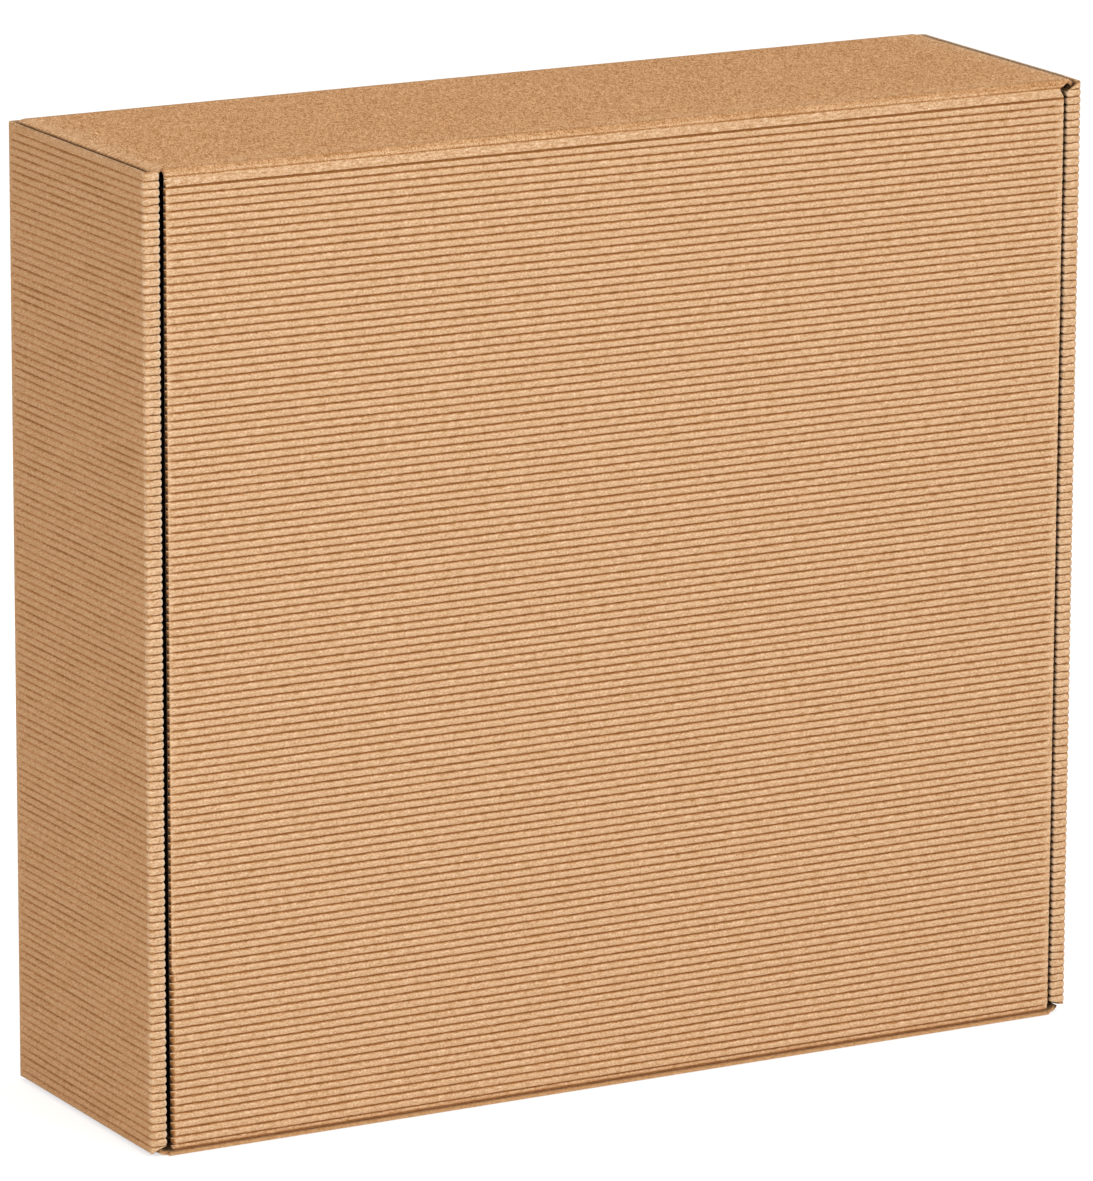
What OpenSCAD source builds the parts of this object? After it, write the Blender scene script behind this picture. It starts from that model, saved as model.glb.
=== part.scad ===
// Mailing box folded from open-flute corrugated board, standing closed on its front wall.
// The tray is one folded sheet: base, rear wall on top, front wall below, and two side walls
// that roll over the corner flaps. The lid hangs from the rear wall and its flap tucks inside.
// The base is at the back, the lid at the front, and the flutes lie outwards everywhere.
// X runs along the flutes of the lid, Y from the lid to the base, Z up. The origin is on the
// floor, in the middle of the box.

/* [Box] */
// Width over the two side walls
box_w = 335; // [200:1:500]
// Height from the front wall's outer face to the rear wall's outer face
box_h = 312; // [200:1:450]
// Depth from the lid's outer face to the base's outer face
box_d = 97; // [60:1:150]

/* [Board] */
// Thickness over the flutes
board_t = 1.3; // [1.2:0.05:1.6]
// Thickness of the flat liner
liner_t = 0.3; // [0.2:0.05:0.4]
// Thickness of the fluted sheet on the liner
medium_t = 0.25; // [0.2:0.05:0.3]
// Distance from one flute to the next
flute_pitch = 2.5; // [2.3:0.1:3.4]
// Width of the flat crest of a flute
crest_w = 1.1; // [0.8:0.05:1.3]

/* [Folds] */
// Inside radius of a creased fold
fold_r = 0.4; // [0.2:0.05:0.6]
// Thickness of the board where a crease has crushed it
crushed_t = 1.1; // [0.9:0.05:1.2]
// Least width of the crushed board beside a fold
crush_w = 1.6; // [1:0.1:2.4]
// Outside radius of the soft bend from a wall into its corner flap
flap_bend_r = 4.4; // [3.4:0.1:5]

/* [Side walls] */
// Air gap between two layers of a side wall
layer_gap = 0.5; // [0.3:0.05:0.8]
// Distance from the floor to a side wall's cut edge, and the same at the top
side_gap = 1.2; // [0.5:0.1:2]

/* [Corner flaps] */
// Height of a corner flap above its wall's outer face
flap_len = 60; // [30:1:90]
// Least distance from the opening to a corner flap's near edge
flap_relief = 5; // [4:0.5:12]

/* [Locking tabs] */
// Least length of a tab along the box's height
tab_len = 40; // [20:1:60]
// Distance between the middles of the two tabs of a side wall
tab_spacing = 150; // [100:1:180]
// Clearance round a tab in its slot
tab_clear = 0.25; // [0.2:0.05:0.4]

/* [Lid] */
// Slot between a cut end of the lid and the rim of the side wall
slot_w = 1.3; // [0.8:0.1:2]
// Clearance at the hinge, and between the tuck flap and the front wall
lid_gap = 0.3; // [0.3:0.05:0.5]
// Width of the crushed band of the lid under the hinge fold
hinge_band = 6; // [4:0.1:8]
// Distance from the box's top to the score line in that band
score_drop = 3; // [2:0.1:3.6]
// Depth of the score line
score_depth = 0.35; // [0.2:0.05:0.5]
// Width of the score line at the surface
score_w = 0.8; // [0.4:0.1:1.2]
// Radius of the lid's two lower corners
corner_r = 3; // [2:0.1:5]
// Distance from a rounded corner of the lid to the side of the tuck flap
tuck_inset = 1; // [0.5:0.1:4]
// Depth of the tuck flap, measured from the fold
tuck_depth = 38; // [20:1:42]
// Lean of the tuck flap away from the front wall, so that it swings out freely
tuck_lean = 4; // [3.9:0.1:6]
// Radius of the tuck flap's two free corners
tuck_r = 8; // [4:0.5:12]

/* [Hidden] */
$fn = 16;
kraft = [0.80, 0.62, 0.43];
valley_h = liner_t + medium_t;
fold_out = fold_r + board_t;
rim_w = 3 * board_t + 2 * layer_gap;
wall_w = box_w - 2 * (board_t + layer_gap + flap_bend_r);
lid_w = box_w - 2 * (rim_w + slot_w);
crush_end = fold_out + crush_w;
z_count = floor((box_h - 2 * crush_end) / flute_pitch);
z_first = (box_h - z_count * flute_pitch) / 2;
y_count = floor((box_d - 2 * crush_end) / flute_pitch);
y_first = -y_count * flute_pitch / 2;
flap_skip = ceil((flap_relief - box_d / 2 - y_first) / flute_pitch);
tab_flutes = ceil(tab_len / flute_pitch);
hinge_y = -box_d / 2 + board_t - crushed_t / 2;
hinge_z = box_h - board_t + crushed_t / 2;
lid_top = hinge_z - crushed_t / 2 - lid_gap;
tuck_fold_y = -box_d / 2 + fold_out;
tuck_fold_z = board_t + lid_gap + fold_out;
lid_count = floor((box_h - hinge_band - tuck_fold_z - crush_w) / flute_pitch);
lid_first = box_h - hinge_band - lid_count * flute_pitch;
tuck_count = floor((tuck_depth - fold_out - 2 * crush_w) / flute_pitch);
tuck_first = (tuck_depth - fold_out - tuck_count * flute_pitch) / 2;

// Flutes of a row, as points [place along the row, height over the liner's inner face]
function flute_points(first, count) = [
  for (i = [0 : count - 1]) each [
    [first + (i + 0.5) * flute_pitch - crest_w / 2, board_t],
    [first + (i + 0.5) * flute_pitch + crest_w / 2, board_t],
    [first + (i + 1) * flute_pitch, valley_h]
  ]
];

// Section of board that is fluted from end to end. X runs along the row, Y is the height
module fluted_section(first, count) {
  last = first + count * flute_pitch;
  polygon(concat([[first, 0], [first, valley_h]], flute_points(first, count), [[last, 0]]));
}

// Section of board from low to high, crushed outside its row of flutes
module board_section(low, high, first, count) {
  last = first + count * flute_pitch;
  polygon(concat(
    [[low, 0], [low, crushed_t], [first, crushed_t], [first, valley_h]],
    flute_points(first, count),
    [[last, crushed_t], [high, crushed_t], [high, 0]]
  ));
}

// Section of a square fold round the origin, from its -X side to its -Y side
module fold_section() {
  reach = fold_r + crushed_t;
  intersection() {
    difference() {
      circle(reach);
      circle(fold_r);
    }
    translate([-reach, -reach])
      square(reach);
  }
}

// Section of the air under the flutes of a row
module flute_air(first, count) {
  rise = board_t - valley_h;
  run = (flute_pitch - crest_w) / 2;
  slant = medium_t * norm([rise, run]) / rise;
  base_w = flute_pitch / 2 + (valley_h - liner_t) * run / rise - slant;
  top_w = crest_w / 2 + medium_t * run / rise - slant;
  for (i = [0 : count - 1])
    translate([first + (i + 0.5) * flute_pitch, 0])
      polygon([
        [-base_w, liner_t],
        [base_w, liner_t],
        [top_w, board_t - medium_t],
        [-top_w, board_t - medium_t]
      ]);
}

// Extrudes a section drawn as [Y, Z] along X, centred on the middle of the box
module along_x(len) {
  rotate([90, 0, 90])
    translate([0, 0, -len / 2])
      linear_extrude(len)
        children();
}

// Section of the front wall, with its flutes on the floor
module front_wall_section() {
  translate([0, board_t])
    mirror([0, 1])
      board_section(-box_d / 2, box_d / 2 - fold_out, y_first, y_count);
}

// Section of the rear wall, which ends in the bead that the lid turns round
module rear_wall_section() {
  translate([0, box_h - board_t])
    board_section(hinge_y, box_d / 2 - fold_out, y_first, y_count);
  translate([hinge_y, hinge_z])
    circle(crushed_t / 2);
}

// Section of the base
module base_section() {
  translate([box_d / 2 - board_t, 0])
    rotate(90)
      mirror([0, 1])
        board_section(fold_out, box_h - fold_out, z_first, z_count);
}

// Base, front wall and rear wall: one run of board with two folds
module trough() {
  along_x(wall_w) {
    front_wall_section();
    rear_wall_section();
    base_section();
    translate([box_d / 2 - fold_out, fold_out])
      mirror([1, 0])
        fold_section();
    translate([box_d / 2 - fold_out, box_h - fold_out])
      mirror([1, 0])
        mirror([0, 1])
          fold_section();
  }
}

// Section of a side wall drawn as [height of the board, Z], cut edge to cut edge
module side_section() {
  rotate(90)
    mirror([0, 1])
      board_section(side_gap, box_h - side_gap, z_first, z_count);
}

// The same section, kept to its flutes. It clears the front and rear walls
module inner_section(first = z_first, count = z_count) {
  rotate(90)
    mirror([0, 1])
      fluted_section(first, count);
}

// Straight run of wall of length len from the origin along +X, flutes towards +Y
module wall_run(len) {
  rotate([90, 0, 90])
    linear_extrude(len)
      children();
}

// Bend of a wall round the origin, from +X round to +Y, flutes outwards
module wall_bend() {
  rotate_extrude(angle = 90)
    translate([fold_r, 0])
      children();
}

// Strip of the base between the trough and the fold into the side wall, with the tab slots
module base_strip() {
  difference() {
    translate([wall_w / 2, box_d / 2 - board_t, 0])
      wall_run(box_w / 2 - fold_out - wall_w / 2)
        side_section();
    for (first = tab_firsts())
      translate([box_w / 2 - rim_w - tab_clear, box_d / 2 - 2 * board_t, first - tab_clear])
        cube([board_t + 2 * tab_clear, 3 * board_t, tab_flutes * flute_pitch + 2 * tab_clear]);
  }
}

// Heights at which the two tabs of a side wall start, each on a valley between flutes
function tab_firsts() = [
  for (side = [-1, 1])
    let (low = (box_h + side * tab_spacing - tab_flutes * flute_pitch) / 2)
      z_first + round((low - z_first) / flute_pitch) * flute_pitch
];

// Right side wall: out of the base, forwards, over the rim and back inside
module side_wall() {
  straight = box_d - 2 * fold_out;
  inner_x = box_w / 2 - rim_w;
  inner_len = box_d - fold_out - board_t - layer_gap;
  base_strip();
  translate([box_w / 2 - fold_out, box_d / 2 - fold_out, 0])
    wall_bend()
      side_section();
  translate([box_w / 2 - board_t, box_d / 2 - fold_out, 0])
    rotate(-90)
      wall_run(straight)
        side_section();
  translate([box_w / 2 - fold_out, -box_d / 2 + fold_out, 0])
    rotate(-90)
      wall_bend()
        side_section();
  translate([box_w / 2 - fold_out, -box_d / 2 + board_t, 0])
    rotate(180)
      wall_run(rim_w - 2 * fold_out)
        inner_section();
  translate([inner_x + fold_out, -box_d / 2 + fold_out, 0])
    rotate(180)
      wall_bend()
        inner_section();
  translate([inner_x + board_t, -box_d / 2 + fold_out, 0])
    rotate(90)
      wall_run(inner_len)
        inner_section();
  for (first = tab_firsts())
    translate([inner_x + board_t, -box_d / 2 + fold_out + inner_len, 0])
      rotate(90)
        wall_run(layer_gap + board_t - tab_clear)
          inner_section(first, tab_flutes);
}

// Section of a corner flap drawn as [height of the board, Y], kept clear of the opening
module flap_section() {
  rotate(90)
    mirror([0, 1])
      fluted_section(y_first + flap_skip * flute_pitch, y_count - flap_skip);
}

// Right corner flap of the front wall, bent up between the layers of the side wall
module corner_flap() {
  translate([wall_w / 2, 0, flap_bend_r]) {
    rotate([-90, 0, 0])
      rotate_extrude(angle = 90)
        translate([flap_bend_r - board_t, 0])
          flap_section();
    translate([flap_bend_r - board_t, 0, 0])
      linear_extrude(flap_len - flap_bend_r)
        flap_section();
  }
}

// Tray: one folded sheet
module tray() {
  color(kraft) {
    trough();
    for (side = [0, 1])
      mirror([side, 0, 0]) {
        side_wall();
        corner_flap();
        translate([0, 0, box_h])
          mirror([0, 0, 1])
            corner_flap();
      }
  }
}

// Section of board with open flutes, which a lid cut to its size shows at its ends
module open_section(low, high, first, count) {
  difference() {
    board_section(low, high, first, count);
    flute_air(first, count);
  }
}

// Section of the lid's panel, with the score line in its upper band
module panel_section() {
  difference() {
    translate([-box_d / 2 + board_t, 0])
      rotate(90)
        open_section(tuck_fold_z, lid_top, lid_first, lid_count);
    translate([-box_d / 2 + board_t - crushed_t, box_h - score_drop])
      polygon([[0, -score_w / 2], [score_depth, 0], [0, score_w / 2], [-board_t, 0]]);
  }
}

// Outline of the lid's panel seen from the front
module panel_outline() {
  low = tuck_fold_z - fold_r - crushed_t;
  translate([-lid_w / 2, low + corner_r])
    square([lid_w, box_h - low - corner_r]);
  translate([-lid_w / 2 + corner_r, low])
    square([lid_w - 2 * corner_r, box_h - low]);
  for (side = [-1, 1])
    translate([side * (lid_w / 2 - corner_r), low + corner_r])
      circle(corner_r);
}

// Panel with its side of the tuck fold, and with the two lower corners rounded
module lid_panel() {
  intersection() {
    along_x(lid_w) {
      panel_section();
      translate([tuck_fold_y, tuck_fold_z])
        fold_section();
    }
    translate([0, box_d / 2, 0])
      rotate([90, 0, 0])
        linear_extrude(2 * box_d)
          panel_outline();
  }
}

// Outline of the tuck flap seen from below, from the panel's outer face to the free edge
module tuck_outline() {
  wide = lid_w - 2 * (corner_r + tuck_inset);
  translate([-wide / 2, -fold_out])
    square([wide, tuck_depth - tuck_r]);
  translate([-wide / 2 + tuck_r, -fold_out])
    square([wide - 2 * tuck_r, tuck_depth]);
  for (side = [-1, 1])
    translate([side * (wide / 2 - tuck_r), tuck_depth - fold_out - tuck_r])
      circle(tuck_r);
}

// Tuck flap with its side of the fold. It leans up from the front wall
module tuck_flap() {
  translate([0, tuck_fold_y, tuck_fold_z])
    rotate([tuck_lean, 0, 0])
      intersection() {
        along_x(lid_w) {
          fold_section();
          translate([0, -fold_r])
            mirror([0, 1])
              open_section(0, tuck_depth - fold_out, tuck_first, tuck_count);
        }
        translate([0, 0, -2 * fold_out])
          linear_extrude(2 * fold_out)
            tuck_outline();
      }
}

// Lid: panel and tuck flap, one folded sheet
module lid() {
  color(kraft) {
    lid_panel();
    tuck_flap();
  }
}

tray();
lid();
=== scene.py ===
"""Dressed model of a folded mailing box of open-flute kraft board, which stands closed on its front wall.

Lengths are in metres. X runs along the lid's flutes, Y from the lid to the base, Z up from the floor.
"""
import logging
import math
from dataclasses import dataclass, field, replace
from enum import Enum

import bpy
import numpy as np
from mathutils import Matrix, Vector, noise


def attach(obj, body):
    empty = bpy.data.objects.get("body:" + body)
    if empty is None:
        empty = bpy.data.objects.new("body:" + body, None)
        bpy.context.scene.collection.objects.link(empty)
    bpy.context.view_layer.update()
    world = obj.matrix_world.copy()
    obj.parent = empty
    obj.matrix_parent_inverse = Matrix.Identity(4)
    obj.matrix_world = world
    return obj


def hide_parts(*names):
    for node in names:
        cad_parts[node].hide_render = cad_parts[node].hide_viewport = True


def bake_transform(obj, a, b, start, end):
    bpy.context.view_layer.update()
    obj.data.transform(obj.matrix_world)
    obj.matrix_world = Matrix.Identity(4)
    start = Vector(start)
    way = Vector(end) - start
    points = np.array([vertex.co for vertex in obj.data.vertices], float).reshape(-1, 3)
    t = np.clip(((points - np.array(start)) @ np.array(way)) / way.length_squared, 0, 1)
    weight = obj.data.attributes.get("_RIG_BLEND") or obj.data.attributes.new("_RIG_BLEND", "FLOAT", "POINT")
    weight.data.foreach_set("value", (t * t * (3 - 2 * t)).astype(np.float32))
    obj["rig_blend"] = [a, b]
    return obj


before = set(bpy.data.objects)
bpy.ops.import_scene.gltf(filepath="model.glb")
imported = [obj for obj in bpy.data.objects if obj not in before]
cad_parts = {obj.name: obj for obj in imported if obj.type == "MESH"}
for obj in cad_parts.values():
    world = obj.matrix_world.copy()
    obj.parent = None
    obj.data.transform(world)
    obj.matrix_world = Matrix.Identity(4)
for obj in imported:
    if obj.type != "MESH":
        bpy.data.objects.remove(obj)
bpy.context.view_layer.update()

LOG = logging.getLogger("mailing_box")
MM = 0.001
TOUCH = 1e-6  # two places this close are one, and a finished edge is no shorter
TINY = 1e-9  # keeps a divisor off zero
FOOT = 0.1 * MM  # a point of a section that is lower than this is on the inner face
BROAD_WAVES = 30.0  # waves per metre across a row in which flutes stray from their places
SMOOTH_DEGREES = 42.0
TRAY = "tray"
LID = "lid"

Colour = tuple[float, float, float]
Place = tuple[float, float, float]
Span = tuple[float, float]
WHITE: Colour = (1.0, 1.0, 1.0)


class Side(Enum):
    """The two ends of the box along X."""

    LEFT = -1
    RIGHT = 1


class Paper(Enum):
    """The surfaces of a sheet of board; WALL is the outer face of the base, front wall and rear wall."""

    FLUTES = 0
    LINER = 1
    CUT = 2
    WALL = 3


@dataclass(frozen=True)
class Board:
    """Sizes of the open-flute board and of its folds."""

    thick: float = 1.3 * MM
    liner: float = 0.3 * MM
    medium: float = 0.25 * MM  # thickness of the fluted sheet
    pitch: float = 2.5 * MM
    crushed: float = 1.1 * MM  # thickness where the board is pressed flat
    fold: float = 0.4 * MM  # inside radius
    shoulder: float = 0.4 * MM  # length of the step from the last valley up to crushed board
    arch: float = 2.6  # power of a flute's curve, higher for a flatter crest
    steps: int = 8  # parts of one flute

    @property
    def valley(self) -> float:
        """Height of the board at a valley between two flutes."""
        return self.liner + self.medium

    @property
    def fold_out(self) -> float:
        """Distance from the outer face of one wall to the middle of its fold."""
        return self.fold + self.thick

    @property
    def skin(self) -> float:
        """Height just over the liner, above which the fluted sheet's inner side is free."""
        return self.liner * 1.01

    def rise(self, step: int) -> float:
        """Give the height of the fluted sheet over a valley.

        Args:
            step: Place in the flute, from 0 at one valley to steps at the next.

        Returns:
            The height in metres.
        """
        swing = abs(2 * step / self.steps - 1)
        return (self.thick - self.valley) * (1 - swing**self.arch)


@dataclass(frozen=True)
class Box:
    """Outside sizes of the box and the places that follow from them."""

    board: Board = field(default_factory=Board)
    width: float = 335 * MM
    height: float = 312 * MM
    depth: float = 97 * MM
    wall_half: float = 161.3 * MM  # half the length of the base, front wall and rear wall
    lid_half: float = 160.5 * MM  # half the length of the lid
    rim: float = 5.8 * MM
    layer_gap: float = 0.5 * MM  # air between two layers of a side wall
    notch_z: float = 309.1 * MM  # middle of the notch at each end of the hinge fold
    notch_reach: float = 2.8 * MM  # how far it runs up and down from there
    notch_left: float = 0.3 * MM  # its depth on the left
    notch_right: float = 1.5 * MM
    flare: float = 1.6  # how fast the crease widens above the right notch
    end_room: float = 6 * MM  # length of the lid's ends that follows the notches

    @property
    def front(self) -> float:
        """Y of the lid's outer face."""
        return -self.depth / 2

    @property
    def back(self) -> float:
        """Y of the base's outer face."""
        return self.depth / 2


@dataclass(frozen=True)
class Row:
    """A row of flutes between two crushed bands, along X of a section."""

    first: float  # place of the first valley
    count: int  # number of flutes
    low: float  # free edges of the two bands
    high: float


def only(obj: bpy.types.Object) -> None:
    """Make one object the only selected and active one.

    Args:
        obj: The object.
    """
    if bpy.context.object and bpy.context.object.mode != "OBJECT":
        bpy.ops.object.mode_set(mode="OBJECT")
    bpy.ops.object.select_all(action="DESELECT")
    obj.select_set(True)
    bpy.context.view_layer.objects.active = obj


def places(obj: bpy.types.Object) -> np.ndarray:
    """Read the places of a mesh's vertices.

    Args:
        obj: The mesh object, in object mode.

    Returns:
        One row of x, y and z for each vertex.
    """
    flat = np.empty(len(obj.data.vertices) * 3)
    obj.data.vertices.foreach_get("co", flat)
    return flat.reshape(-1, 3)


def choose(obj: bpy.types.Object, mask: np.ndarray) -> None:
    """Select the marked vertices of obj and go into edit mode.

    Args:
        obj: The mesh object.
        mask: True for each vertex to select.
    """
    mesh = obj.data
    mesh.polygons.foreach_set("select", np.zeros(len(mesh.polygons), bool))
    mesh.edges.foreach_set("select", np.zeros(len(mesh.edges), bool))
    mesh.vertices.foreach_set("select", mask.astype(bool))
    bpy.ops.object.mode_set(mode="EDIT")
    bpy.ops.mesh.select_mode(type="VERT")


def leave() -> None:
    """Go back to object mode."""
    bpy.ops.object.mode_set(mode="OBJECT")


def shift(obj: bpy.types.Object, mask: np.ndarray, move: Place) -> None:
    """Move the marked vertices of obj.

    Args:
        obj: The mesh object, in object mode.
        mask: True for each vertex to move.
        move: The way that they go.
    """
    choose(obj, mask)
    bpy.ops.transform.translate(value=move)
    leave()


def value_of(obj: bpy.types.Object, name: str) -> np.ndarray:
    """Read a value that is painted on a mesh's vertices.

    Args:
        obj: The mesh object, in object mode.
        name: The value's name.

    Returns:
        One number for each vertex.
    """
    out = np.empty(len(obj.data.vertices), np.float32)
    obj.data.attributes[name].data.foreach_get("value", out)
    return out


def paint(obj: bpy.types.Object, name: str, numbers: np.ndarray | float) -> None:
    """Paint a value on a mesh's vertices.

    Args:
        obj: The mesh object, in object mode.
        name: The value's name.
        numbers: One number for each vertex, or one for all.
    """
    attributes = obj.data.attributes
    layer = attributes.get(name) or attributes.new(name, "FLOAT", "POINT")
    painted = np.empty(len(obj.data.vertices), np.float32)
    painted[:] = numbers
    layer.data.foreach_set("value", painted)


def put(obj: bpy.types.Object, at: np.ndarray) -> None:
    """Move the vertices of obj.

    Args:
        obj: The mesh object, in object mode.
        at: The new place of each vertex.
    """
    obj.data.vertices.foreach_set("co", at.ravel())
    obj.data.update()


def unit(given: np.ndarray) -> np.ndarray:
    """Clip numbers to the range from 0 to 1."""
    return np.clip(given, 0, 1)


def bell(given: np.ndarray, width: float) -> np.ndarray:
    """Give 1 at 0, falling smoothly to nothing over about twice the width."""
    return np.exp(-((given / width) ** 2))


def waves(at: np.ndarray, scale: Place, seed: float) -> np.ndarray:
    """Read a smooth noise at many places.

    Args:
        at: One row of x, y and z for each place.
        scale: Waves per metre along each axis.
        seed: Where in the noise to read.

    Returns:
        One number from about -1 to 1 for each place.
    """
    spots = at * np.array(scale) + seed
    return np.array([noise.noise(Vector(spot)) for spot in spots])


@dataclass(frozen=True)
class Unrest:
    """How the flutes of a row stray from even places, the same for all sheets that meet."""

    axis: int  # of the row, 1 for Y or 2 for Z
    amount: float  # about the largest shift
    margin: float  # distance from the row's ends in which the shift grows to its full size
    seed: float  # where in the noise to read
    # Waves per metre, share and step of the seed, for the slow and for the quick part of the shift.
    layers: tuple[Place, ...] = ((150.0, 1.2, 0.0), (420.0, 0.8, 7.7))

    def spread(self, obj: bpy.types.Object) -> None:
        """Shift the flutes of a piece a little along their row, less towards the row's ends.

        Args:
            obj: The piece, in its place.
        """
        at = places(obj)
        along = at[:, self.axis].copy()
        room = unit(np.minimum(along - along.min(), along.max() - along) / self.margin)
        stray = np.zeros(len(at))
        scale = [BROAD_WAVES] * 3
        for per_metre, share, step in self.layers:
            scale[self.axis] = per_metre
            stray += share * waves(at, tuple(scale), self.seed + step)
        at[:, self.axis] = along + self.amount * room * stray
        put(obj, at)


WALL_UNREST = Unrest(axis=1, amount=0.08 * MM, margin=4 * MM, seed=11.0)
HEIGHT_UNREST = Unrest(axis=2, amount=0.1 * MM, margin=4 * MM, seed=3.0)
LID_UNREST = Unrest(axis=2, amount=0.07 * MM, margin=5 * MM, seed=21.0)


class Sheet:
    """Board drawn out from a flat section.

    X is the row of flutes, Y the height over the liner's inner face, and Z the way that it is drawn.
    """

    def __init__(self, name: str, board: Board, drop: float = 0.0) -> None:
        """Keep the board's sizes and start at the origin.

        Args:
            name: The piece's name.
            board: The board's sizes.
            drop: How far a crushed band's free edge is pressed down.
        """
        self.name = name
        self.board = board
        self.drop = drop
        self.obj: bpy.types.Object | None = None
        self.point = Vector((0, 0, 0))
        self.heading = 0.0

    def _grid(self, length: float, steps: int, start: float, low: float, high: float) -> None:
        """Add a flat strip of quads, one row of them.

        Args:
            length: Length along X.
            steps: Number of quads.
            start: X of the first edge.
            low: Y of the inner side.
            high: Y of the outer side.
        """
        if bpy.context.object and bpy.context.object.mode != "OBJECT":
            leave()
        bpy.ops.object.select_all(action="DESELECT")
        bpy.ops.mesh.primitive_grid_add(x_subdivisions=steps, y_subdivisions=1, size=1)
        self.obj = bpy.context.object
        self.obj.name = self.name
        bpy.ops.transform.resize(value=(length, high - low, 1))
        bpy.ops.transform.translate(value=(start + length / 2, (low + high) / 2, 0))
        bpy.ops.object.transform_apply(location=True, rotation=True, scale=True)

    def fluted(self, row: Row, open_flutes: bool = False) -> "Sheet":
        """Draw the section of a row of flutes between two crushed bands.

        Args:
            row: The row and its bands.
            open_flutes: Draw only the fluted sheet, with air under it.

        Returns:
            This sheet.
        """
        board = self.board
        inner = board.liner if open_flutes else 0.0
        self._grid(row.count * board.pitch, row.count * board.steps, row.first, inner, board.valley)
        obj = self.obj
        step = board.pitch / board.steps
        top = places(obj)[:, 1] > (inner + board.valley) / 2
        for phase in range(1, board.steps):
            at = np.rint((places(obj)[:, 0] - row.first) / step).astype(int) % board.steps == phase
            shift(obj, at if open_flutes else at & top, (0, board.rise(phase), 0))
        self._band(row.first, row.low, inner)
        self._band(row.first + row.count * board.pitch, row.high, inner)
        self._mark(inner, open_flutes)
        if not open_flutes:
            self._close()
        return self

    def plain(self, length: float, steps: int, low: float = 0.0, high: float | None = None) -> "Sheet":
        """Draw the section of a flat strip, centred on X = 0.

        Args:
            length: Length of the strip.
            steps: Number of parts along it.
            low: Height of its inner face.
            high: Height of its outer face, or None for crushed board.

        Returns:
            This sheet.
        """
        high = self.board.crushed if high is None else high
        self._grid(length, steps, -length / 2, low, high)
        height = places(self.obj)[:, 1]
        outer = height > (low + high) / 2
        paint(self.obj, "side", ~outer)
        paint(self.obj, "height", height)
        paint(self.obj, "crest", 0.8)
        # paler crests, partly rubbed paper and partly a painted sheen
        paint(self.obj, "rub_and_sheen", 1)
        return self

    def _band(self, edge: float, end: float, inner: float) -> None:
        """Draw a crushed band from the edge of the flutes to the end of the section.

        Args:
            edge: X of the last valley.
            end: X of the band's free edge.
            inner: Height of the section's inner side.
        """
        board = self.board
        way = math.copysign(1.0, end - edge)
        wide = abs(end - edge)
        if wide < FOOT / 2:
            return
        shoulder = min(board.shoulder, wide / 2)
        rises = ((shoulder, board.crushed - board.valley), (wide * 0.8, 0), (wide, -self.drop))
        for reach, lift in rises:
            at = places(self.obj)
            tip = at[:, 0].max() if way > 0 else at[:, 0].min()
            choose(self.obj, abs(at[:, 0] - tip) < TOUCH)
            bpy.ops.mesh.extrude_region_move(
                TRANSFORM_OT_translate={"value": (edge + way * reach - tip, 0, 0)}
            )
            leave()
            if lift:
                at = places(self.obj)
                new = abs(at[:, 0] - (edge + way * reach)) < TOUCH
                if not inner:
                    new &= at[:, 1] > FOOT
                shift(self.obj, new, (0, lift, 0))

    def _mark(self, inner: float, open_flutes: bool) -> None:
        """Paint which side each vertex is on, and how near it is to a crest.

        Args:
            inner: Height of the section's inner side.
            open_flutes: The section is the fluted sheet alone.
        """
        obj, board = self.obj, self.board
        at = places(obj)
        if open_flutes:
            order = np.lexsort((at[:, 1], np.rint(at[:, 0] / (FOOT / 10))))
            outer = np.zeros(len(at), bool)
            outer[order[1::2]] = True
            height = np.where(outer, at[:, 1], at[:, 1] + board.medium)
        else:
            outer = at[:, 1] > FOOT
            height = np.where(outer, at[:, 1], board.valley)
        paint(obj, "side", ~outer)
        paint(obj, "height", height)
        paint(obj, "crest", unit((height - board.valley) / (board.thick - board.valley)))
        # paler crests, partly rubbed paper and partly a painted sheen; the walls lower it later
        paint(obj, "rub_and_sheen", 1)

    def _close(self) -> None:
        """Make the section one face, with a straight inner side."""
        choose(self.obj, np.ones(len(self.obj.data.vertices), bool))
        bpy.ops.mesh.dissolve_faces()
        leave()
        at = places(self.obj)
        x = at[:, 0]
        choose(self.obj, (at[:, 1] < FOOT) & (x > x.min() + TOUCH) & (x < x.max() - TOUCH))
        bpy.ops.mesh.dissolve_verts()
        leave()

    def _grab(self) -> None:
        """Go into edit mode with the section's leading faces selected."""
        if self.obj.mode != "EDIT":
            choose(self.obj, np.ones(len(self.obj.data.vertices), bool))

    def run(self, length: float, steps: int = 1, ends: tuple[float, ...] = ()) -> "Sheet":
        """Draw the board straight on.

        Args:
            length: How far.
            steps: Number of equal parts.
            ends: Lengths of short parts before them, and backwards after them.

        Returns:
            This sheet.
        """
        self._grab()
        way = Vector((0, -math.sin(self.heading), math.cos(self.heading)))
        part = (length - 2 * sum(ends)) / steps
        for reach in (*ends, *[part] * steps, *reversed(ends)):
            bpy.ops.mesh.extrude_region_move(TRANSFORM_OT_translate={"value": tuple(way * reach)})
        self.point += way * length
        return self

    def pinch(self, length: float, level: float, reach: float, amount: float) -> "Sheet":
        """Press the flutes together at the two cut ends of a straight sheet.

        Args:
            length: Length of the sheet.
            level: Height to which they are pressed.
            reach: How far in from an end.
            amount: 1 where they are pressed quite flat.

        Returns:
            This sheet.
        """
        leave()
        at = places(self.obj)
        end = np.minimum(at[:, 2], length - at[:, 2])
        press = amount * unit(2 - 2 * end / reach)
        height = value_of(self.obj, "height")
        loose = (value_of(self.obj, "side") < 0.5) | (at[:, 1] > self.board.skin)
        at[:, 1] += np.where(loose, (level - height) * press, 0)
        put(self.obj, at)
        crest = value_of(self.obj, "crest")
        paint(self.obj, "crest", crest + (0.9 - crest) * press)
        return self

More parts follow.
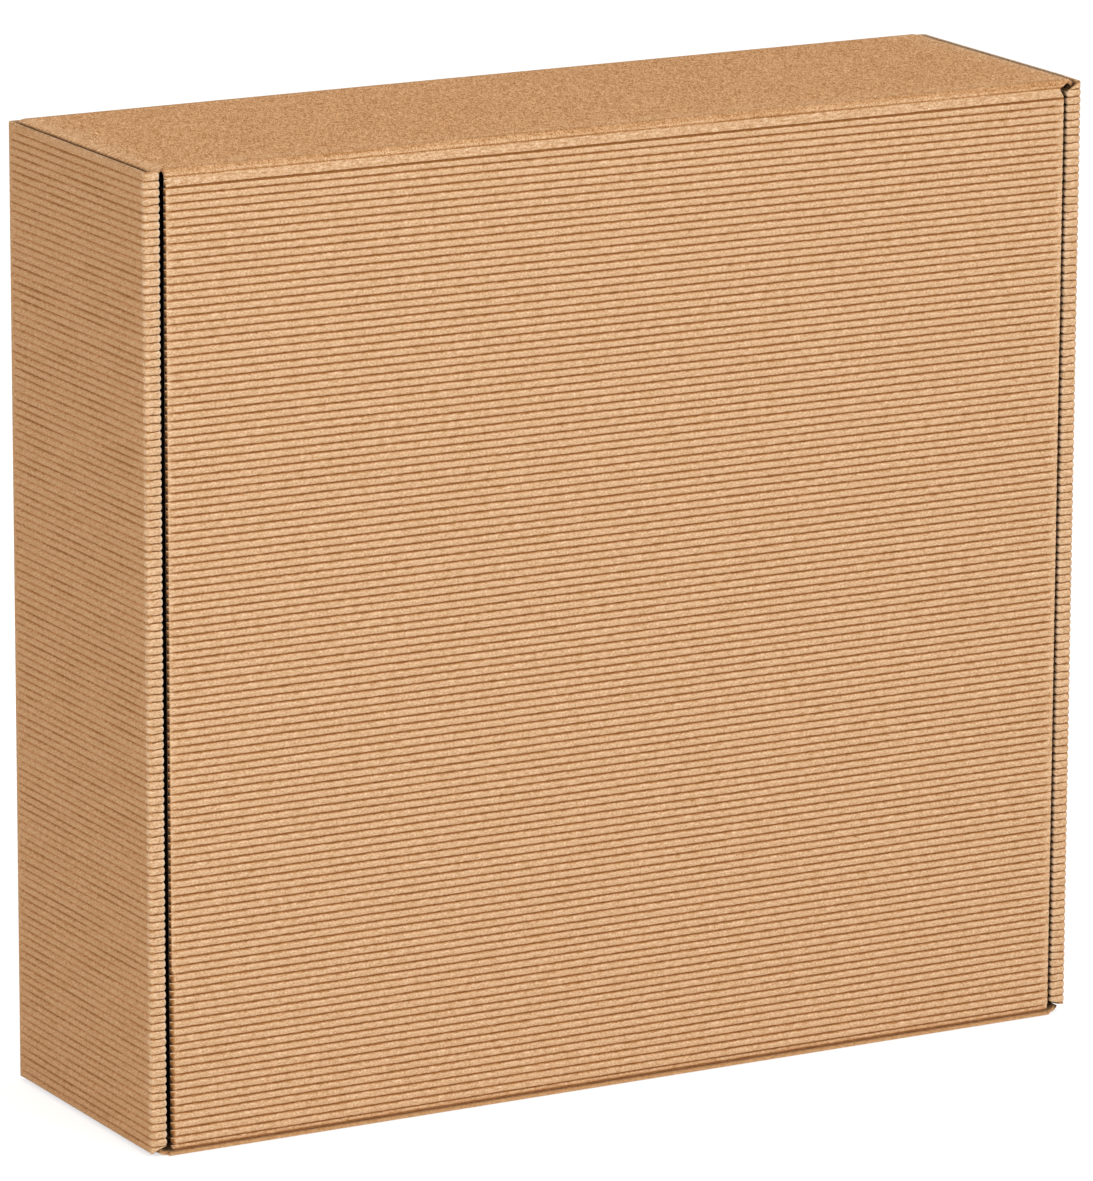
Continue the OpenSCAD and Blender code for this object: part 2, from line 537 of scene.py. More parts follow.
    def bend(self, radius: float, degrees: float = 90.0, steps: int = 5) -> "Sheet":
        """Draw the board round a bend, with the flutes outside.

        Args:
            radius: Radius of the liner's inner face.
            degrees: How far it turns.
            steps: Number of parts.

        Returns:
            This sheet.
        """
        self._grab()
        out = Vector((0, math.cos(self.heading), math.sin(self.heading)))
        centre = self.point - out * radius
        turn = math.radians(degrees)
        for _ in range(steps):
            bpy.ops.mesh.extrude_region()
            bpy.ops.transform.rotate(value=-turn / steps, orient_axis="X", center_override=tuple(centre))
        self.heading += turn
        self.point = centre + Vector((0, math.cos(self.heading), math.sin(self.heading))) * radius
        return self

    def set_down(self, origin: Place, row: Place, out: Place, along: Place) -> bpy.types.Object:
        """Put the drawn sheet in its place on the box.

        Args:
            origin: Where the section's origin goes.
            row: Where the section's X points.
            out: Where its Y points.
            along: Where its Z points.

        Returns:
            The finished object, at the origin with its place in its mesh.
        """
        only(self.obj)
        turn = Matrix((row, out, along)).transposed().to_4x4()
        self.obj.matrix_world = Matrix.Translation(origin) @ turn
        bpy.ops.object.transform_apply(location=True, rotation=True, scale=True)
        return self.obj


def join(name: str, parts: list[bpy.types.Object]) -> bpy.types.Object:
    """Join objects into one.

    Args:
        name: The joined object's name.
        parts: The objects.

    Returns:
        The joined object.
    """
    only(parts[0])
    for part in parts:
        part.select_set(True)
    if len(parts) > 1:
        bpy.ops.object.join()
    parts[0].name = name
    return parts[0]


def cut_box(obj: bpy.types.Object, middle: Place, size: Place) -> None:
    """Cut a box out of obj.

    Args:
        obj: The object.
        middle: The box's middle.
        size: The box's sizes.
    """
    bpy.ops.object.select_all(action="DESELECT")
    bpy.ops.mesh.primitive_cube_add(size=1, location=middle)
    cutter = bpy.context.object
    bpy.ops.transform.resize(value=size)
    bpy.ops.object.transform_apply(location=True, rotation=True, scale=True)
    only(obj)
    boolean = obj.modifiers.new("cut", "BOOLEAN")
    boolean.operation = "DIFFERENCE"
    boolean.solver = "EXACT"
    boolean.object = cutter
    bpy.ops.object.modifier_apply(modifier=boolean.name)
    bpy.data.objects.remove(cutter)


class Tree:
    """A node tree with short ways to add and link nodes."""

    def __init__(self, tree: bpy.types.NodeTree) -> None:
        """Empty the tree."""
        self.tree = tree
        tree.nodes.clear()

    def add(self, kind: str, sockets: dict | None = None, **settings: object) -> bpy.types.Node:
        """Add a node.

        Args:
            kind: The node's type, without its ShaderNode prefix, unless it is a group's.
            sockets: A number, colour or link for each input, by name or index.
            **settings: The node's own settings.

        Returns:
            The node.
        """
        node = self.tree.nodes.new(kind if kind.startswith("NodeGroup") else "ShaderNode" + kind)
        for key, setting in settings.items():
            setattr(node, key, setting)
        for key, given in (sockets or {}).items():
            if isinstance(given, bpy.types.NodeSocket):
                self.tree.links.new(given, node.inputs[key])
            else:
                node.inputs[key].default_value = given
        return node

    def maths(self, operation: str, *given: object) -> bpy.types.NodeSocket:
        """Add a Math node and give its output."""
        return self.add("Math", dict(enumerate(given)), operation=operation).outputs[0]

    def spread(self, given: object, start: Span, end: Span = (0.0, 1.0)) -> bpy.types.NodeSocket:
        """Map a value from one range to another and give the output."""
        sockets = {"Value": given, "From Min": start[0], "From Max": start[1]}
        return self.add("MapRange", {**sockets, "To Min": end[0], "To Max": end[1]}).outputs["Result"]

    def noise(self, vector: object, scale: float, detail: float) -> bpy.types.NodeOutputs:
        """Add a Noise Texture node and give its outputs."""
        return self.add("TexNoise", {"Vector": vector, "Scale": scale, "Detail": detail}).outputs

    def stretch(self, given: object, way: object) -> bpy.types.NodeSocket:
        """Scale a vector by one number for each axis and give the output."""
        return self.add("VectorMath", {0: given, 1: way}, operation="MULTIPLY").outputs[0]

    def plus(self, one: object, two: object) -> bpy.types.NodeSocket:
        """Add two vectors and give the output."""
        return self.add("VectorMath", {0: one, 1: two}, operation="ADD").outputs[0]

    def scale(self, given: object, size: object) -> bpy.types.NodeSocket:
        """Scale a vector by one number and give the output."""
        return self.add("VectorMath", {0: given, "Scale": size}, operation="SCALE").outputs[0]

    def mix(self, fac: object, one: object, two: object, blend: str = "MIX") -> bpy.types.NodeSocket:
        """Mix two colours and give the output."""
        node = self.add("Mix", {0: fac, 6: one, 7: two}, data_type="RGBA", blend_type=blend)
        return node.outputs[2]


def rgba(colour: Colour) -> tuple[float, float, float, float]:
    """Give a colour with full alpha."""
    return (*colour, 1.0)


@dataclass(frozen=True)
class PaperGrain:
    """Fibres, flecks and specks of kraft paper, as one shader node group."""

    name: str = "paper_grain"
    fleck_scale: float = 2300.0
    broad_share: float = 0.37  # scale of the broad flecks, as a share of the fine ones'
    broad_light: float = 0.3
    usual: Span = (0.3, 0.7)  # most of a noise lies between these
    speck_from: Span = (0.68, 0.76)
    fibre_scale: float = 1500.0
    fibre_way: Place = (0.22, 0.4, 1.0)
    warmth: Place = (0.7, 1.0, 1.4)  # how much the flecks change red, green and blue

    def build(self) -> bpy.types.ShaderNodeTree:
        """Make the group.

        Returns:
            The group, which gives a tint round 1, a fibre mask from 0 to 1 and a height.
        """
        group = bpy.data.node_groups.new(self.name, "ShaderNodeTree")
        sockets = (("INPUT", "Vector", ("Vector", "Stretch")),
                   ("INPUT", "Float", ("Contrast", "Hue", "Specks")),
                   ("OUTPUT", "Color", ("Tint",)),
                   ("OUTPUT", "Float", ("Fibre", "Height")))
        for in_out, kind, names in sockets:
            for name in names:
                group.interface.new_socket(name, in_out=in_out, socket_type="NodeSocket" + kind)
        tree = Tree(group)
        given = tree.add("NodeGroupInput").outputs
        flecked = tree.stretch(given["Vector"], given["Stretch"])
        fine = tree.noise(flecked, self.fleck_scale, 2.0)
        broad = tree.noise(flecked, self.fleck_scale * self.broad_share, 2.0)
        fibre = tree.noise(tree.stretch(given["Vector"], self.fibre_way), self.fibre_scale, 3.0)
        grain = tree.maths("ADD", tree.spread(fine[0], self.usual, (-1, 1)),
                           tree.spread(broad[0], self.usual, (-self.broad_light, self.broad_light)))
        speck = tree.maths("MULTIPLY", tree.spread(fine[0], self.speck_from), given["Specks"])
        light = tree.maths("SUBTRACT", tree.maths("MULTIPLY", grain, given["Contrast"]), speck)
        hue = tree.scale(tree.plus(fine[1], (-0.5, -0.5, -0.5)), given["Hue"])
        even = tree.add("CombineXYZ", {0: light, 1: light, 2: light}).outputs[0]
        tint = tree.plus(tree.plus(hue, tree.stretch(even, self.warmth)), (1.0, 1.0, 1.0))
        fibrous = tree.spread(fibre[0], self.usual)
        tree.add("NodeGroupOutput", {"Tint": tint, "Fibre": fibrous, "Height": fine[0]})
        return group


@dataclass(frozen=True)
class KraftFinish:
    """Look of one surface of the board."""

    name: str
    # valley is a painted shade for the flutes' hollows; pale is partly rubbed paper and partly a painted sheen
    valley: Colour
    body: Colour
    pale: Colour
    torn: Colour = (0.93, 0.73, 0.52)
    # deep is a near-black painted shade, mixed in by the painted 'deep' value in gaps and flute openings
    deep: Colour = (0.016, 0.008, 0.004)
    stretch: Place = (0.6, 0.6, 1.1)
    contrast: float = 0.3
    hue: float = 0.07
    specks: float = 0.3
    ragged: Span = (-0.15, 0.15)  # how far fibres move the colours up or down a flute
    body_from: Span = (0.06, 0.66)  # where up a flute the valley's colour, a painted shade of the hollows, gives way to the body's
    pale_from: Span = (0.42, 0.86)  # where that gives way to the pale crest's, partly rubbed paper and partly a painted sheen
    pale_fibre: Span = (0.6, 1.02)  # how pale the rub and painted sheen are between fibres and on them
    top_from: Span = (0.88, 1.0)
    top_pale: Span = (1.0, 0.78)  # the very top is a little less pale
    torn_fibre: Span = (0.6, 1.1)
    bump: float = 0.3
    bump_depth: float = 0.1 * MM
    roughness: float = 0.9
    specular: float = 0.25

    def _colour(self, tree: Tree, paper: bpy.types.NodeOutputs) -> bpy.types.NodeSocket:
        """Mix the paper's colours by the values that are painted on the piece.

        Args:
            tree: The material's tree.
            paper: Outputs of its paper grain.

        Returns:
            The colour.
        """
        crest, rub_and_sheen, torn, deep = (tree.add("Attribute", attribute_name=name).outputs["Fac"]
                                  for name in ("crest", "rub_and_sheen", "torn", "deep"))
        fibre, whole = paper["Fibre"], (0.0, 1.0)
        ragged = tree.maths("ADD", crest, tree.spread(fibre, whole, self.ragged))
        # painted shade: the valley colour darkens the lower part of each flute
        colour = tree.mix(tree.spread(ragged, self.body_from), rgba(self.valley), rgba(self.body))
        pale_rub_and_sheen = tree.maths("MULTIPLY", tree.spread(ragged, self.pale_from), rub_and_sheen)
        pale_rub_and_sheen = tree.maths("MULTIPLY", pale_rub_and_sheen, tree.spread(fibre, whole, self.pale_fibre))
        pale_rub_and_sheen = tree.maths("MULTIPLY", pale_rub_and_sheen, tree.spread(crest, self.top_from, self.top_pale))
        # pale crests: rubbed paper and a painted sheen, strongest on the lid, which faces the key lamp
        colour = tree.mix(pale_rub_and_sheen, colour, rgba(self.pale))
        torn = tree.maths("MULTIPLY", torn, tree.spread(fibre, whole, self.torn_fibre))
        colour = tree.mix(torn, colour, rgba(self.torn))
        colour = tree.mix(1.0, colour, paper["Tint"], "MULTIPLY")
        # painted shade: the 'deep' value darkens gaps and openings toward near black
        return tree.mix(deep, colour, rgba(self.deep))

    def build(self, grain: bpy.types.ShaderNodeTree) -> bpy.types.Material:
        """Make the material.

        Args:
            grain: The paper grain group.

        Returns:
            The material.
        """
        material = bpy.data.materials.new(self.name)
        material.use_nodes = True
        tree = Tree(material.node_tree)
        at = tree.add("TexCoord").outputs["Object"]
        paper = tree.add("Group", node_tree=grain)
        tree.tree.links.new(at, paper.inputs["Vector"])
        settings = {"Stretch": self.stretch, "Contrast": self.contrast, "Hue": self.hue, "Specks": self.specks}
        for name, setting in settings.items():
            paper.inputs[name].default_value = setting
        bump = tree.add("Bump", {"Height": paper.outputs["Height"], "Strength": self.bump,
                                 "Distance": self.bump_depth})
        surface = tree.add("BsdfPrincipled", {"Base Color": self._colour(tree, paper.outputs),
                                              "Normal": bump.outputs[0], "Roughness": self.roughness,
                                              "Specular IOR Level": self.specular})
        tree.add("OutputMaterial", {"Surface": surface.outputs[0]})
        return material


@dataclass
class Finishes:
    """The looks of the board, in the order of Paper."""

    # Each valley colour is a painted shade for the hollows between flutes.
    flutes: KraftFinish = KraftFinish(
        "kraft_flutes", valley=(0.34, 0.140, 0.036), body=(0.60, 0.300, 0.12), pale=(0.87, 0.585, 0.35))
    liner: KraftFinish = KraftFinish(
        "kraft_liner", valley=(0.50, 0.285, 0.135), body=(0.56, 0.33, 0.165), pale=(0.62, 0.38, 0.20))
    cut: KraftFinish = KraftFinish(
        "kraft_cut_edge", valley=(0.46, 0.23, 0.085), body=(0.60, 0.32, 0.13), pale=(0.85, 0.58, 0.36))
    wall: KraftFinish = replace(flutes, name="kraft_wall", stretch=(0.9, 0.55, 1.0), contrast=0.52)
    even: float = 0.01  # a face whose corners' sides differ by less lies on one side
    built: list[bpy.types.Material] = field(default_factory=list)

    def build(self) -> None:
        """Make the materials."""
        grain = PaperGrain().build()
        self.built = [look.build(grain) for look in (self.flutes, self.liner, self.cut, self.wall)]

    def _sides(self, obj: bpy.types.Object) -> np.ndarray:
        """Find which look each face has, by the sides that its corners lie on.

        Args:
            obj: The piece.

        Returns:
            The value of Paper for each face.
        """
        mesh = obj.data
        corner = np.empty(len(mesh.loops), int)
        mesh.loops.foreach_get("vertex_index", corner)
        owner = np.repeat(np.arange(len(mesh.polygons)), [len(face.vertices) for face in mesh.polygons])
        side = np.zeros(len(mesh.polygons))
        np.add.at(side, owner, value_of(obj, "side")[corner])
        side /= np.bincount(owner, minlength=len(side))
        inner = np.where(side > 1 - self.even, Paper.LINER.value, Paper.CUT.value)
        return np.where(side < self.even, Paper.FLUTES.value, inner).astype(np.int32)

    def dress(self, obj: bpy.types.Object, outer: Paper = Paper.FLUTES) -> bpy.types.Object:
        """Give a piece of board its three looks, clean its mesh and smooth its flutes.

        Args:
            obj: The piece, with its sides painted.
            outer: The look of its fluted side.

        Returns:
            The piece.
        """
        mesh = obj.data
        mesh.materials.clear()
        for paper in (outer, Paper.LINER, Paper.CUT):
            mesh.materials.append(self.built[paper.value])
        mesh.polygons.foreach_set("material_index", self._sides(obj))
        only(obj)
        bpy.ops.object.mode_set(mode="EDIT")
        bpy.ops.mesh.select_all(action="SELECT")
        bpy.ops.mesh.dissolve_degenerate(threshold=TOUCH)
        bpy.ops.mesh.select_all(action="SELECT")
        bpy.ops.mesh.normals_make_consistent(inside=False)
        leave()
        bpy.ops.object.shade_smooth_by_angle(angle=math.radians(SMOOTH_DEGREES))
        return obj


@dataclass
class Trough:
    """Base, front wall and rear wall, with the two folds between them."""

    box: Box
    base_row: Row = Row(first=3.5 * MM, count=122, low=1.7 * MM, high=310.3 * MM)
    wall_row: Row = Row(first=-45 * MM, count=36, low=-48.5 * MM, high=46.8 * MM)
    crease_y: float = -46.2 * MM
    columns: int = 14
    end_parts: tuple[float, ...] = (1.5 * MM, 2.5 * MM, 4 * MM, 5 * MM)
    fold_columns: int = 60
    fold_rub: float = 0.3
    end_reach: float = 3 * MM  # how far in from a side wall the flutes show, at the lid
    end_growth: float = 0.09  # how much further per metre behind the lid
    near_reach: float = 11 * MM  # how far behind the lid the flutes show
    near_fade: float = 5 * MM
    near_share: float = 0.4

    def _wall(self, name: str, row: Row, height: float, out: int) -> bpy.types.Object:
        """Draw the front or the rear wall.

        Args:
            name: The wall's name.
            row: Its row of flutes along Y.
            height: Z of its liner's inner face.
            out: 1 where the flutes point up, -1 where they point down.

        Returns:
            The wall.
        """
        half = self.box.wall_half
        sheet = Sheet(name, self.box.board).fluted(row).run(2 * half, self.columns, self.end_parts)
        wall = sheet.set_down((-half, 0, height), (0, 1, 0), (0, 0, out), (1, 0, 0))
        WALL_UNREST.spread(wall)
        self._paint_wear_and_shade(wall)
        return wall

    def _paint_wear_and_shade(self, wall: bpy.types.Object) -> None:
        """Leave a wall's middle even in colour; near its bends and front edge paint shade in its valleys and
        paler crests.

        Args:
            wall: The wall.
        """
        at = places(wall)
        behind = at[:, 1] - self.box.front
        reach = self.end_reach + self.end_growth * behind
        end = unit(1 - (self.box.wall_half - abs(at[:, 0])) / reach)
        near = self.near_share * unit((self.near_reach - behind) / self.near_fade)
        crest = value_of(wall, "crest")
        even = 0.62 + 0.3 * crest
        # painted shade in the valleys, and paler crests from rubbed paper and a painted sheen, near the bends
        # and the front edge
        paint(wall, "crest", even + np.maximum(end, near) * (0.58 * crest - 0.46))
        paint(wall, "rub_and_sheen", 0.2 + 0.26 * end + 0.3 * near)

    def _fold(self, name: str, height: float, up: int) -> bpy.types.Object:
        """Draw the fold between the base and a wall.

        Args:
            name: The fold's name.
            height: Z of the wall's liner.
            up: 1 for the rear wall's fold, -1 for the front wall's.

        Returns:
            The fold.
        """
        board = self.box.board
        sheet = Sheet(name, board).plain(2 * self.box.wall_half, self.fold_columns).bend(board.fold, 90, 6)
        fold = sheet.set_down((0, self.box.back - board.fold_out, height), (1, 0, 0), (0, 0, up), (0, 1, 0))
        paint(fold, "rub_and_sheen", self.fold_rub)
        return fold

    def build(self) -> bpy.types.Object:
        """Build the trough.

        Returns:
            The trough as one object.
        """
        box, board = self.box, self.box.board
        sheet = Sheet("base", board).fluted(self.base_row).run(2 * box.wall_half, self.columns)
        base = sheet.set_down((-box.wall_half, box.back - board.thick, 0), (0, 0, 1), (0, 1, 0), (1, 0, 0))
        HEIGHT_UNREST.spread(base)
        parts = [
            base,
            self._wall("front_wall", self.wall_row, board.thick, -1),
            self._wall("rear_wall", replace(self.wall_row, low=self.crease_y), box.height - board.thick, 1),
            self._fold("front_fold", board.thick, -1),
            self._fold("rear_fold", box.height - board.thick, 1),
        ]
        return join("trough", parts)


@dataclass(frozen=True)
class RimCut:
    """Cut ends of a rim, as heights at its outer and at its inner side."""

    top_outer: float
    top_inner: float
    low_outer: float
    low_inner: float


@dataclass(frozen=True)
class RimFold:
    """One of a side wall's three folds, seen along Z."""

    x: float  # its centre, with X measured outwards
    y: float
    to_x: int  # the way that it bulges
    to_y: int
    press: float  # how flat its flutes are pressed
    push: float  # how far its round is squared, as a share of the board's thickness

    def around(self, x: np.ndarray, y: np.ndarray) -> tuple[np.ndarray, ...]:
        """Measure places from the fold's centre.

        Args:
            x: X of the places, outwards.
            y: Y of the places.

        Returns:
            How far they lie beyond the centre along X and along Y, whether they are on the bend, and how far
            from the centre they are.
        """
        dx, dy = (x - self.x) * self.to_x, (y - self.y) * self.to_y
        return dx, dy, (dx > -TOUCH) & (dy > -TOUCH), np.maximum(np.hypot(dx, dy), TINY)


@dataclass
class SideWall:
    """A side wall: out of the base, forwards, over the rim and back inside, with its locking tabs."""

    box: Box
    side: Side
    cut: RimCut
    row: Row = Row(first=3.5 * MM, count=122, low=1.2 * MM, high=311.3 * MM)
    edge_drop: float = 0.45 * MM  # how far the upper edge is pressed down
    ends: tuple[float, ...] = (0.8 * MM, 1.4 * MM)  # short parts beside a fold, which keep it crisp
    tab_first: tuple[float, float] = (61 * MM, 211 * MM)
    tab_flutes: int = 16
    tab_clear: float = 0.25 * MM
    slot_depth: float = 3.2  # of the cutter, as a share of the board's thickness
    flat: float = 0.92 * MM  # height of flutes that are pressed flat
    fade: float = 1.5 * MM
    wobble: float = 0.22 * MM
    wobble_waves: Place = (420, 0, 330)
    wobble_seed: float = 31.0
    streak_waves: Place = (0, 45, 900)
    streak_seed: float = 17.0
    shade: float = 2.5 * MM  # how far behind the inner fold the valleys get painted shade
    clear: float = 1.4 * MM  # places this far from the outer faces belong to the inner layer
    slant: float = 0.3 * MM  # distance from the outer face at which an end's slant starts

    @property
    def torn_fold(self) -> float:
        """How torn the paper is at the rim's inner fold, painted stronger on the left than on the right."""
        return 0.7 if self.side is Side.LEFT else 0.0

    @property
    def torn_edge(self) -> float:
        """How torn the paper is along the wall's upper edge."""
        return 0.2 if self.side is Side.LEFT else 0.6

    def _folds(self) -> tuple[RimFold, ...]:
        """Find the wall's three folds.

        Returns:
            The folds at the base, at the rim's outer side and at its inner side.
        """
        box, out = self.box, self.box.board.fold_out
        low_y, high_y = box.front + out, box.back - out
        out_x, in_x = box.width / 2 - out, box.width / 2 - box.rim + out
        return (RimFold(out_x, high_y, 1, 1, 0.95, 0.0), RimFold(out_x, low_y, 1, -1, 0.4, 0.14),
                RimFold(in_x, low_y, -1, -1, 0.35, 0.2))

    def _wall(self) -> bpy.types.Object:
        """Draw the wall in one run round its three bends.

        Returns:
            The wall.
        """
        box, board = self.box, self.box.board
        sheet = Sheet("wall", board, drop=self.edge_drop).fluted(self.row)
        sheet.run(box.width / 2 - board.fold_out - box.wall_half, 2).bend(board.fold)
        sheet.run(box.depth - 2 * board.fold_out, 12, self.ends).bend(board.fold, steps=6)
        sheet.run(box.rim - 2 * board.fold_out, 5).bend(board.fold, steps=7)
        sheet.run(box.depth - board.fold_out - board.thick - box.layer_gap, 5)
        start = (self.side.value * box.wall_half, box.back - board.thick, 0)
        return sheet.set_down(start, (0, 0, 1), (0, 1, 0), (self.side.value, 0, 0))

    def _slot(self, wall: bpy.types.Object, first: float) -> None:
        """Cut away the wall round a tab's root, where the inner layer becomes the tab.

        Args:
            wall: The wall.
            first: Z of the tab's lower end.
        """
        box, board = self.box, self.box.board
        span = self.tab_flutes * board.pitch + 2 * self.tab_clear
        middle = self.side.value * (box.width / 2 - box.rim + board.thick / 2)
        cut_box(wall, (middle, box.back, first - self.tab_clear + span / 2),
                (board.thick + 2 * self.tab_clear, self.slot_depth * board.thick, span))

    def _tab(self, first: float) -> bpy.types.Object:
        """Draw one locking tab, in its slot in the base.

        Args:
            first: Z of the tab's lower end.

        Returns:
            The tab.
        """
        box, board = self.box, self.box.board
        row = Row(first, self.tab_flutes, first, first + self.tab_flutes * board.pitch)
        sheet = Sheet("tab", board).fluted(row).run(box.layer_gap + board.thick - self.tab_clear)
        start = (self.side.value * (box.width / 2 - box.rim + board.thick),
                 box.back - board.thick - box.layer_gap, 0)
        return sheet.set_down(start, (0, 0, 1), (-self.side.value, 0, 0), (0, 1, 0))

    def _paint_tear_and_shade(self, wall: bpy.types.Object) -> None:
        """Paint the torn paper at the rim's inner fold, and painted shade in the valleys behind it.

        Args:
            wall: The wall, before its folds are pressed.
        """
        at, crest = places(wall), value_of(wall, "crest")
        outer = value_of(wall, "side") < 0.5
        dx, dy, bent, radius = self._folds()[-1].around(at[:, 0] * self.side.value, at[:, 1])
        inward = np.where(bent & outer, dx / radius, 0)
        paint(wall, "torn", unit(4 * inward - 1.4) * (self.torn_fold + 0.25 * crest))
        # painted shade: valleys behind the inner fold darken toward near black
        behind = outer & (dx > -TOUCH) & (dy <= -TOUCH)
        inward = np.where(behind, unit(1.6 + dy / self.shade), inward)
        paint(wall, "deep", np.clip(2.6 * inward - 1.5, 0, 0.95) * unit(1.25 - 1.25 * crest))

    def _crush(self, wall: bpy.types.Object) -> None:
        """Press the flutes at the three folds, and square the folds of the rim.

        Args:
            wall: The wall.
        """
        at, height, crest = places(wall), value_of(wall, "height"), value_of(wall, "crest")
        x, y = at[:, 0] * self.side.value, at[:, 1].copy()
        press, way_x, way_y, square = np.zeros((4, len(at)))
        base, rim, _ = folds = self._folds()
        for fold in folds:
            dx, dy, bent, radius = fold.around(x, y)
            way_x = np.where(bent, dx / radius * fold.to_x, way_x)
            way_y = np.where(bent, dy / radius * fold.to_y, way_y)
            corner = np.sin(2 * np.arctan2(dy, np.maximum(dx, TINY))) ** 2
            square += np.where(bent, fold.push * self.box.board.thick * corner, 0)
            beside = np.where(dx > -TOUCH, np.clip(-dy, 0, None), np.clip(-dx, 0, None))
            near = (dx > -TOUCH) | (dy > -TOUCH)
            press = np.maximum(press, np.where(near, fold.press * bell(beside, self.fade), 0))
        flat = (way_x == 0) & (way_y == 0)
        way_x += np.where(flat & (y < base.y) & (y > rim.y), np.where(x > base.x, 1.0, -1.0), 0)
        way_y += np.where(flat & (y <= rim.y), -1.0, np.where(flat & (y >= base.y), 1.0, 0))
        outer = value_of(wall, "side") < 0.5
        move = np.where(outer, (self.flat - height) * press, 0) + square
        at[:, 0] = (x + way_x * move) * self.side.value
        at[:, 1] = y + way_y * move
        put(wall, at)
        paint(wall, "crest", crest + (0.75 - crest) * 0.75 * press)

    def _wobble(self, wall: bpy.types.Object) -> None:
        """Make the flutes of the rim uneven.

        Args:
            wall: The wall.
        """
        at = places(wall)
        front = unit(1 - (at[:, 1] - self.box.front - 1.5 * MM) / (2 * MM))
        ends = unit(np.minimum(at[:, 2], self.box.height - at[:, 2]) / (8 * MM) - 0.3)
        at[:, 2] += self.wobble * front * ends * waves(at, self.wobble_waves, self.wobble_seed)
        put(wall, at)

    def _paint_wear_and_shade(self, wall: bpy.types.Object, outside: np.ndarray) -> None:
        """Colour the wall's outer face, the zigzag of its front fold, its torn upper edge and painted shade in
        the rim's valleys.

        Args:
            wall: The wall.
            outside: True for each vertex of the outer face, before the folds were pressed.
        """
        at = places(wall)
        behind = at[:, 1] - self.box.front
        crest, height = value_of(wall, "crest"), value_of(wall, "height")
        zigzag = 0.7 * MM + 1.1 * MM * crest
        face = np.where(outside, unit((behind - zigzag) / (0.5 * MM)), 0)
        streaks = waves(at, self.streak_waves, self.streak_seed)
        # outer face less pale than the rim: less rubbed paper and less painted sheen
        paint(wall, "rub_and_sheen", 1 - 0.62 * face)
        rim = np.where(outside, 0, unit(1 - (behind - 0.8 * MM) / (0.4 * MM)))
        outer = unit((abs(at[:, 0]) - self.box.width / 2 + 1.9 * MM) / (0.9 * MM))
        valley = (height < self.box.board.valley * 1.05) & (value_of(wall, "side") < 0.5)
        line = outer * 0.4 * (1 - crest) - 0.6 * (1 - outer) * crest
        thin = rim * np.where(valley, line, 0.5 * (1 - crest))
        paint(wall, "crest", unit(crest + thin + face * (0.38 - 0.46 * crest + 0.36 * streaks)))
        # painted shade: thin dark lines in the rim's valleys, away from its outer fold
        paint(wall, "deep", np.maximum(value_of(wall, "deep"), 0.4 * rim * valley * (1 - outer)))
        edge = unit((at[:, 2] - self.row.high + 0.45 * MM) / (0.3 * MM))
        back = unit((behind - 1 * MM) / (1 * MM))
        paint(wall, "torn", np.maximum(value_of(wall, "torn"), self.torn_edge * edge * back))

    def _trim(self, at: np.ndarray) -> np.ndarray:
        """Cut the rim's ends to their slants, and keep the inner layer clear of the corner flaps.

        Args:
            at: Places of the vertices.

        Returns:
            The new places.
        """
        box, cut, row = self.box, self.cut, self.row
        x, y, z = at[:, 0] * self.side.value, at[:, 1], at[:, 2]
        across = unit((box.width / 2 - self.slant - x) / (box.rim - self.slant))
        inner = (x < box.width / 2 - self.clear) & (y > box.front + self.clear) & (y < box.back - self.clear)
        fade = np.where(inner, 0, unit((y - box.front - 1.5 * MM) / (5 * MM)))
        last = row.first + row.count * box.board.pitch
        top = cut.top_outer + (cut.top_inner - cut.top_outer) * across**0.8
        low = cut.low_outer + (cut.low_inner - cut.low_outer) * across**0.7
        top = np.where(inner, np.minimum(top, last), top + (row.high - top) * fade)
        low = np.where(inner, np.maximum(low, row.first), low + (row.low - low) * fade)
        z = np.where(z > last, last + (z - last) * (np.maximum(top, last) - last) / (row.high - last), z)
        below = (row.first - z) * (row.first - np.minimum(low, row.first)) / (row.first - row.low)
        z = np.where(z < row.first, row.first - below, z)
        at[:, 2] = np.clip(z, low, top)
        return at

    def build(self) -> bpy.types.Object:
        """Build the wall.

        Returns:
            The wall as one object.
        """
        wall = self._wall()
        for first in self.tab_first:
            self._slot(wall, first)
        outside = abs(places(wall)[:, 0]) > self.box.width / 2 - self.box.board.fold_out
        self._paint_tear_and_shade(wall)
        self._crush(wall)
        HEIGHT_UNREST.spread(wall)
        self._wobble(wall)
        put(wall, self._trim(places(wall)))
        self._paint_wear_and_shade(wall, outside)
        return join(f"side_wall_{self.side.name.lower()}", [wall, *map(self._tab, self.tab_first)])


